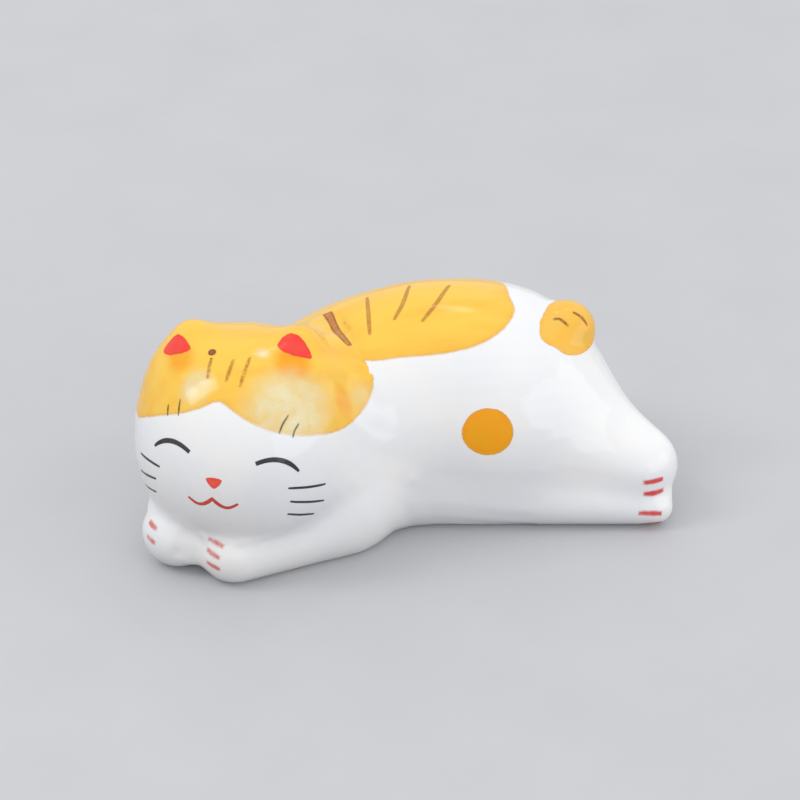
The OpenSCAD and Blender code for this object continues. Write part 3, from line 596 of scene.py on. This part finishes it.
def orange_wash():
    f = Enamel("orange_wash", 0.4, 0.16)
    streaks = f.noise(2.4, (3.5, 1, 1), 4)
    below_near_ear, below_far_ear = (-13.9, -7.7, 25.7), (-26.2, -3.6, 25.4)
    # Painted shade: the orange is deeper under the ears.
    shade_under_ears = f.near(below_near_ear, 0.9, 3) + f.near(below_far_ear, 0.6, 2.4) * 0.8
    # Painted shade: the orange is deeper in a narrow band down the neck crease.
    neck_crease_shade = f.near((-8.4, -8.7, 20.6), 0.5, 1.7, (1, 1, 0.28)) * 0.55
    gathered = f.edge.rising(-0.9, -0.1) * 0.2
    # The darker colour stands for thicker paint in the streaks and at the edge, and for the painted shade.
    deep_paint_and_shade = (streaks.rising(0.35, 0.75) * 0.3 + shade_under_ears + neck_crease_shade + gathered).limited()
    color = f.mixed(deep_paint_and_shade, screen(255, 206, 78), screen(251, 166, 14))
    # Paler orange, partly thin paint and partly painted light: a painted reflection on the near brow, a
    # painted highlight on the far brow and at the glint place.
    near_brow = f.near((-15.2, -11.8, 22.2), 1.8, 6, (0.85, 1, 1))
    far_brow = f.near((-25.1, -7.8, 24), 0.6, 2.6, (1, 1, 0.5)) * 0.9
    cheek = f.near((-5.9, -7.4, 19.8), 0.4, 2.6) * 0.4
    glint = f.near(glint_place, 0.3, 1.2) * 0.9
    thin_paint_and_highlight = (near_brow + far_brow + cheek + glint).limited()
    patchy = f.noise(1.7, (1, 1, 1), 3).rising(0.3, 0.62)
    paler_paint_and_highlight = (thin_paint_and_highlight * (0.6 + 0.4 * patchy)).limited()
    color = f.mixed(paler_paint_and_highlight, color, screen(255, 236, 168))
    alpha = f.inside * (0.97 - 0.42 * paler_paint_and_highlight - 0.05 * streaks)
    return f.glossy(color, alpha, streaks, shine=0.38)


# %% [markdown]
# The spot on the flank is the same enamel laid on thick, so it is deeper, even and sharp. The bob
# tail has the thin wash again.

# %% Amber and tail orange
def even_enamel(name, light, dark, softness, waver, size, density=0.97, spare=0.03, shine=0.5, spread=0):
    """Paint of nearly one depth, with clouds of a size in mm that change its density by a spare."""
    f = Enamel(name, softness, waver, spread)
    clouds = f.noise(size, (1, 1, 1), 3)
    cloudy = clouds.rising(0.3, 0.7)
    gathered = f.edge.rising(-0.6, -0.08) * 0.3
    color = f.mixed((cloudy * 0.6 + gathered).limited(), light, dark)
    alpha = f.inside * (density - spare + spare * 2 * cloudy)
    return f.glossy(color, alpha, clouds, shine=shine)


# %% [markdown]
# Brown is drawn with a nearly dry brush. The stripe on the nape is a translucent tan with a dark
# rim where the paint gathered, the next ones fade towards the rump, and the lines on the forehead
# break up into dots.

# %% Dry brown
dot_place = (-22.6, -4.8, 26.4)
fade_from, fade_to = -7.5, -4.5
dot_edge = (0.7, 1.1)
dry_depth = 0.001


def dry_brown(name, broken, strength, fade, spread=0):
    """Broken is how far the line breaks up into dots, and fade how much it pales towards the rump."""
    f = Enamel(name, 0.16, 0.16, spread)
    grain = f.noise(0.4, (1, 1, 1), 3).rising(0.36, 0.6)
    rim = f.edge.rising(-0.34, -0.1)
    along = f.node("SeparateXYZ", {}, {0: f.place}, output="X")
    held = strength * (1 - along.rising(fade_from, fade_to) * fade)
    full = f.near(dot_place, *dot_edge)
    color = f.mixed((0.6 * rim + 0.5 * full).limited(), screen(188, 100, 46), screen(124, 64, 24))
    body = (0.6 + 0.3 * rim) * (1 - broken + broken * grain)
    return f.glossy(color, f.inside * (body * held + full).limited(), grain, dry_depth)


# %% [markdown]
# The marks of the face are single strokes of thick paint, red or black. The toes of the forepaws
# are touched in with thin red, which turns pink over the white, and those of the hind paws are
# stronger, with a blurred edge.

# %% The finish of each film
amber = even_enamel("amber_enamel", screen(252, 172, 16), screen(246, 156, 0), 0.18, 0.2, 2.5, shine=0.25)
tail_orange = even_enamel("tail_orange", screen(254, 202, 74), screen(249, 176, 36), 0.2, 0.3, 2, 0.93, 0.08)
lining_red = even_enamel("lining_red", screen(248, 66, 50), screen(244, 36, 38), 0.14, 0.3, 0.9, 0.93)
mark_red = even_enamel("mark_red", screen(252, 92, 72), screen(240, 64, 50), 0.08, 0.08, 0.9)
mouth_red = even_enamel("mouth_red", screen(232, 80, 60), screen(198, 54, 42), 0.06, 0.06, 0.6, spread=0.06)
pink_wash = even_enamel("pink_wash", screen(244, 136, 128), screen(232, 104, 98), 0.42, 0.3, 0.9, 0.68, 0.18)
toe_red = even_enamel("toe_red", screen(250, 60, 56), screen(226, 58, 56), 0.34, 0.2, 0.7, 0.82, 0.14)
line_black = even_enamel("line_black", screen(58, 54, 58), screen(36, 32, 36), 0.06, 0.05, 0.8, 0.95, 0.04,
                         spread=0.05)
brow_black = even_enamel("brow_black", screen(92, 76, 58), screen(66, 52, 40), 0.1, 0.06, 0.5, 0.7, 0.15)
finish_of = {
    "cap_patch": orange_wash(), "tail_patch": tail_orange, "flank_spot": amber,
    "forehead_marks": dry_brown("dotted_brown", 0.7, 0.55, 0),
    "tail_marks": dry_brown("tail_brown", 0.45, 0.85, 0),
    "back_stripes": dry_brown("stripe_brown", 0.25, 0.95, 0.5, 0.06),
    "left_ear_lining": lining_red, "right_ear_lining": lining_red, "nose": mark_red, "mouth": mouth_red,
    "left_forepaw_toes": pink_wash, "right_forepaw_toes": pink_wash,
    "left_hind_paw_toes": toe_red, "right_hind_paw_toes": toe_red,
    "left_brow_marks": brow_black, "right_brow_marks": brow_black,
}
finish_of["back_patch"] = finish_of["cap_patch"]
for node, piece in films.items():
    piece.data.materials.clear()
    piece.data.materials.append(finish_of.get(node, line_black))

bpy.data.objects.remove(skin)

# %% [markdown]
# Glossy white ware is photographed in even light from all round, so that every side keeps its tone
# and only a few soft reflections show. Here the world gives most of the light. A wide dim box at
# the front right fills the near side, a small bright one on the left puts its patch on the crown,
# and another behind gives the top of the ear a glint. The floor looks pale, but throws back less
# light than a pale floor would, so that the undersides stay darker and the creases read.

# %% Floor
def floor_paint():
    f = Finish("studio_floor")
    grain = f.noise(14, detail=5)
    seen = f.mixed(grain, screen(192, 193, 196), screen(200, 201, 203))
    kinds = ("Is Camera Ray", "Is Glossy Ray", "Is Transmission Ray")
    to_camera, reflected, through_glass = [f.node("LightPath", output=kind) for kind in kinds]
    looked_at = (to_camera + reflected + through_glass).limited()
    return f.shaded(Base_Color=f.mixed(looked_at, screen(142, 141, 146), seen), Roughness=0.7)


floor_size = 4
bpy.ops.mesh.primitive_plane_add(size=floor_size, location=(0, 0, 0))
floor = bpy.context.object
floor.name = "studio_floor"
floor.data.materials.append(floor_paint())


# %% Lamps and world
def soft_box(name, azimuth, elevation, distance, size, radiance):
    """A rectangular lamp that points at the cat; distance and size are in metres."""
    bpy.ops.object.light_add(type="AREA", location=from_bearing(look_at, azimuth, elevation, distance))
    lamp = bpy.context.object
    lamp.name = name
    lamp.data.shape = "RECTANGLE"
    lamp.data.size, lamp.data.size_y = size
    lamp.data.energy = radiance * math.pi * size[0] * size[1]
    pointed_at(lamp, look_at)
    print(f"{name}: {lamp.data.energy:.2f} W")


soft_box("window_box", -92, 48, 0.6, (0.15, 0.3), 4.5)
soft_box("front_box", 55, 16, 0.9, (1.3, 0.5), 1.02)
soft_box("rear_box", 154, 62, 0.6, (0.11, 0.05), 3)

air_color, air_strength = (0.98, 0.98, 1, 1), 0.95
world = bpy.data.worlds.new("studio_air")
bpy.context.scene.world = world
world.use_nodes = True
background = world.node_tree.nodes["Background"]
background.inputs["Color"].default_value = air_color
background.inputs["Strength"].default_value = air_strength
bpy.context.scene.view_settings.view_transform = "Standard"
